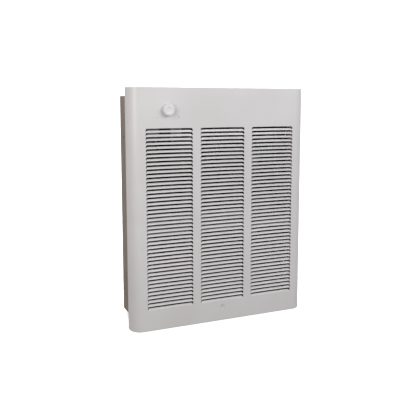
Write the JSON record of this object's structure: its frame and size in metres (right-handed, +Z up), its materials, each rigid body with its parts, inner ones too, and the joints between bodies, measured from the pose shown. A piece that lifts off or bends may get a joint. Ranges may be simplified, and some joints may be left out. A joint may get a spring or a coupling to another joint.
{
  "type": "recessed wall fan heater",
  "caption": "Recessed electric wall heater: louvered steel cover with thermostat knob on a sheet-metal wall box, with fan, motor, finned element and controls inside.",
  "frame": {"origin": "centre of the wall box's flat back face", "axes": "+Y out of the back into the wall, the room is towards -Y; +Z up; +X to the right seen from the room"},
  "size_m": [0.406, 0.1445, 0.505],
  "materials": {
    "black_nylon": "moulded nylon",
    "black_paint": "matt black heat-resistant paint on sheet steel",
    "box_paint": "matt brown-grey painted steel",
    "brazed_fins": "copper-brazed steel, heat-tinted",
    "bronze": "sintered bronze",
    "ceramic": "glazed ceramic",
    "copper": "drawn copper",
    "cover_enamel": "satin powder-coated steel, light grey",
    "fan_aluminium": "pressed sheet",
    "galvanised": "galvanised sheet steel",
    "green_steel": "green-dyed plated steel",
    "knob_plastic": "light grey moulded plastic",
    "laminations": "varnished silicon steel",
    "phenolic": "moulded phenolic",
    "red_plastic": "moulded plastic",
    "steel": "zinc-plated steel",
    "wire_black": "wire insulation"
  },
  "bodies": {
    "cabinet": {"wall_box": "box_paint", "front_cover": "cover_enamel", "cover_screw_bracket": "galvanised", "cover_screw": "cover_enamel", "chassis": "black_paint", "chassis_screw_1": "steel", "chassis_screw_2": "steel", "chassis_screw_3": "steel", "chassis_screw_4": "steel", "air_divider": "galvanised", "divider_screw_1": "steel", "divider_screw_2": "steel", "grommet": "black_nylon", "air_deflector": "black_paint", "motor_strap": "black_paint", "strap_screw_1": "steel", "strap_screw_2": "steel", "motor_housing": "black_paint", "motor_end_cap": "black_paint", "stator": "laminations", "bearing_front": "bronze", "bearing_rear": "bronze", "heating_element": "brazed_fins", "element_bracket_left": "galvanised", "element_bracket_right": "galvanised", "element_terminal_upper": "ceramic", "element_terminal_lower": "ceramic", "thermostat_body": "phenolic", "thermostat_nut": "steel", "thermostat_bulb": "copper", "control_bracket": "galvanised", "switch_body": "black_nylon", "limit_switch": "phenolic", "fan_delay_switch": "phenolic", "terminal_block": "phenolic", "ground_screw": "green_steel", "line_lead": "wire_black", "switch_lead": "wire_black", "thermostat_lead": "wire_black", "element_lead": "wire_black", "motor_lead": "wire_black"},
    "thermostat_dial": {"thermostat_knob": "knob_plastic", "thermostat_spindle": "steel"},
    "fan_rotor": {"fan": "fan_aluminium", "fan_hub": "steel", "fan_nut": "steel", "motor_shaft": "steel", "rotor": "laminations"},
    "switch_paddle": {"switch_rocker": "black_nylon"},
    "cutout_button": {"reset_button": "red_plastic"}
  },
  "joints": [
    {"name": "thermostat_turn", "type": "hinge", "parent": "cabinet", "child": "thermostat_dial", "pos_m": [-0.1224, -0.136, 0.2097], "axis": [0, 1, 0], "range_deg": [0, 270]},
    {"name": "fan_spin", "type": "hinge", "parent": "cabinet", "child": "fan_rotor", "pos_m": [0.035, -0.05, 0.1], "axis": [0, 1, 0], "continuous": true},
    {"name": "switch_rock", "type": "hinge", "parent": "cabinet", "child": "switch_paddle", "pos_m": [-0.1224, -0.1122, 0.1717], "axis": [1, 0, 0], "range_deg": [-20, 0]},
    {"name": "reset_push", "type": "slide", "parent": "cabinet", "child": "cutout_button", "axis": [0, 1, 0], "range_m": [0, 0.0015], "stiffness_N_per_m": 400, "springref_m": -0.0005}
  ]
}
